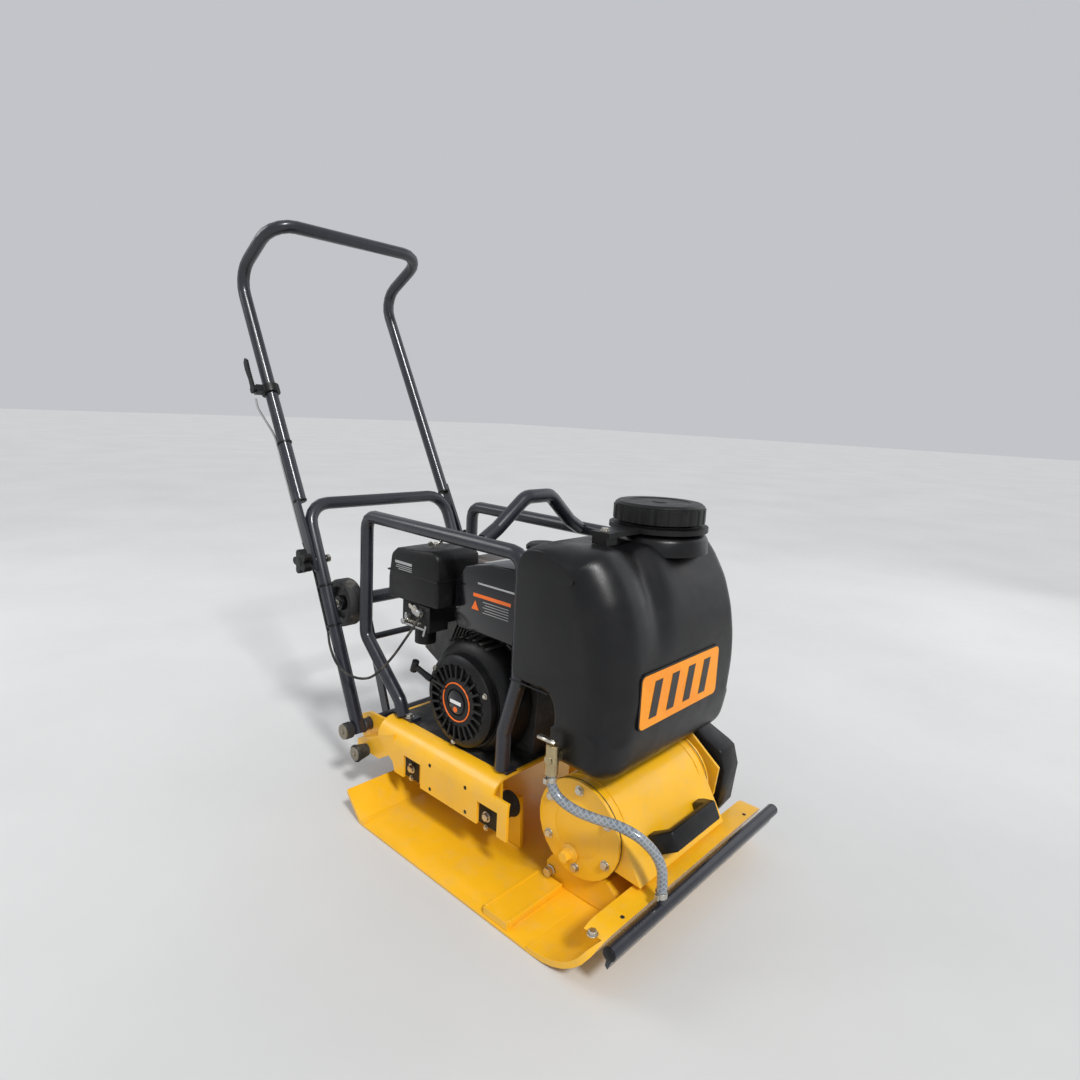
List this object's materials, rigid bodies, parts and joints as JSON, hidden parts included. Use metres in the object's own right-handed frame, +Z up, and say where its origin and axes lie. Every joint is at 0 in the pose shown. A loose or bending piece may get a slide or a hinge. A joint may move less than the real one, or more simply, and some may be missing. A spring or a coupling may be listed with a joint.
{
  "type": "plate compactor",
  "caption": "Walk-behind petrol plate compactor with curled base plate, exciter, belt drive, water tank and sprinkler bar, guard frame and folding handle.",
  "frame": {"origin": "middle of the flat contact face under the base plate, on the ground", "axes": "+Z up, -Y the direction of travel (sprinkler bar), +Y towards the operator, -X the recoil starter side, +X the belt cover side"},
  "size_m": [0.5, 1.14, 1.1339],
  "materials": {
    "yellow_paint": "satin",
    "frame_paint": "satin",
    "black_plastic": "satin",
    "tank_plastic": "matte",
    "rubber": "matte",
    "tyre": "matte",
    "engine_alloy": "satin",
    "iron": "matte",
    "zinc": "satin",
    "gloss_black": "gloss",
    "clear_hose": "gloss",
    "brass": "satin",
    "red_plastic": "satin",
    "label_orange": "satin",
    "label_white": "satin"
  },
  "bodies": {
    "chassis": {"base_plate": "yellow_paint", "exciter_housing": "yellow_paint", "exciter_cover_left": "yellow_paint", "exciter_cover_right": "yellow_paint", "bearing_left": "zinc", "bearing_right": "zinc", "oil_plug": "yellow_paint", "drain_bolt": "zinc", "rubber_mount_front_left": "rubber", "rubber_mount_front_right": "rubber", "rubber_mount_rear_left": "rubber", "rubber_mount_rear_right": "rubber", "deck": "yellow_paint", "guard_tube_left": "frame_paint", "guard_tube_right": "frame_paint", "lifting_arch": "frame_paint", "crankcase": "engine_alloy", "cylinder_head": "engine_alloy", "fan_housing": "black_plastic", "recoil_cover": "black_plastic", "fuel_tank": "gloss_black", "air_cleaner": "black_plastic", "carburettor": "engine_alloy", "muffler": "iron", "v_belt": "rubber", "belt_cover": "black_plastic", "belt_cover_bracket": "yellow_paint", "water_tank": "tank_plastic", "tank_strap": "black_plastic", "outlet_valve": "brass", "water_hose": "clear_hose", "sprinkler_bar": "frame_paint", "front_handle": "black_plastic", "stop_buffer_left": "rubber", "stop_buffer_right": "rubber", "throttle_cable_loop": "rubber"},
    "exciter_rotor": {"eccentric_shaft": "iron", "exciter_pulley": "iron"},
    "crank": {"crankshaft": "iron", "flywheel": "iron", "clutch_drum": "iron"},
    "fuel_cap": {"fuel_cap": "black_plastic"},
    "tank_cap": {"tank_cap": "black_plastic"},
    "valve_lever": {"valve_lever": "red_plastic"},
    "recoil_grip": {"recoil_grip": "black_plastic"},
    "lower_handle": {"lower_handle": "frame_paint", "pivot_bush_left": "rubber", "pivot_bush_right": "rubber", "throttle_cable_lower": "rubber"},
    "upper_handle": {"upper_handle": "frame_paint", "throttle_clamp": "black_plastic", "throttle_cable_upper": "rubber"},
    "star_knob_left": {"star_knob_left": "black_plastic"},
    "star_knob_right": {"star_knob_right": "black_plastic"},
    "throttle_lever": {"throttle_lever": "black_plastic"},
    "wheel_carriage": {"wheel_carriage": "frame_paint"},
    "wheel_left": {"wheel_left": "tyre"},
    "wheel_right": {"wheel_right": "tyre"}
  },
  "joints": [
    {"name": "crank_spin", "type": "hinge", "parent": "chassis", "child": "crank", "pos_m": [0, 0.05, 0.253], "axis": [1, 0, 0], "continuous": true},
    {"name": "exciter_spin", "type": "hinge", "parent": "chassis", "child": "exciter_rotor", "pos_m": [0, -0.218, 0.132], "axis": [1, 0, 0], "continuous": true},
    {"name": "fuel_cap_turn", "type": "hinge", "parent": "chassis", "child": "fuel_cap", "pos_m": [-0.006, -0.01, 0.515], "axis": [0, 0, 1], "range_deg": [0, 90]},
    {"name": "tank_cap_turn", "type": "hinge", "parent": "chassis", "child": "tank_cap", "pos_m": [0.075, -0.19, 0.5923], "axis": [0, 0, 1], "range_deg": [0, 360]},
    {"name": "water_valve_turn", "type": "hinge", "parent": "chassis", "child": "valve_lever", "pos_m": [-0.186, -0.205, 0.2843], "axis": [0, 0, 1], "range_deg": [0, 90]},
    {"name": "recoil_pull", "type": "slide", "parent": "chassis", "child": "recoil_grip", "axis": [-0.35, 0.5, 0.7921], "range_m": [0, 0.3]},
    {"name": "lower_handle_tilt", "type": "hinge", "parent": "chassis", "child": "lower_handle", "pos_m": [0, 0.3, 0.128], "axis": [1, 0, 0], "range_deg": [0, 12]},
    {"name": "upper_handle_fold", "type": "hinge", "parent": "lower_handle", "child": "upper_handle", "pos_m": [0, 0.444, 0.441], "axis": [1, 0, 0], "range_deg": [0, 80]},
    {"name": "knob_left_turn", "type": "hinge", "parent": "upper_handle", "child": "star_knob_left", "pos_m": [-0.212, 0.444, 0.441], "axis": [1, 0, 0], "range_deg": [0, 360]},
    {"name": "knob_right_turn", "type": "hinge", "parent": "upper_handle", "child": "star_knob_right", "pos_m": [0.212, 0.444, 0.441], "axis": [1, 0, 0], "range_deg": [0, 360]},
    {"name": "throttle_swing", "type": "hinge", "parent": "upper_handle", "child": "throttle_lever", "pos_m": [-0.23, 0.63058, 0.779], "axis": [-1, 0, 0], "range_deg": [0, 65]},
    {"name": "carriage_swing", "type": "hinge", "parent": "chassis", "child": "wheel_carriage", "pos_m": [0, 0.33, 0.101], "axis": [-1, 0, 0], "range_deg": [0, 80]},
    {"name": "wheel_left_spin", "type": "hinge", "parent": "wheel_carriage", "child": "wheel_left", "pos_m": [-0.136, 0.425, 0.347], "axis": [1, 0, 0], "continuous": true},
    {"name": "wheel_right_spin", "type": "hinge", "parent": "wheel_carriage", "child": "wheel_right", "pos_m": [0.136, 0.425, 0.347], "axis": [1, 0, 0], "continuous": true}
  ],
  "couplings": [
    {"joint": "exciter_spin", "follows": "crank_spin", "ratio": 1.3611}
  ]
}
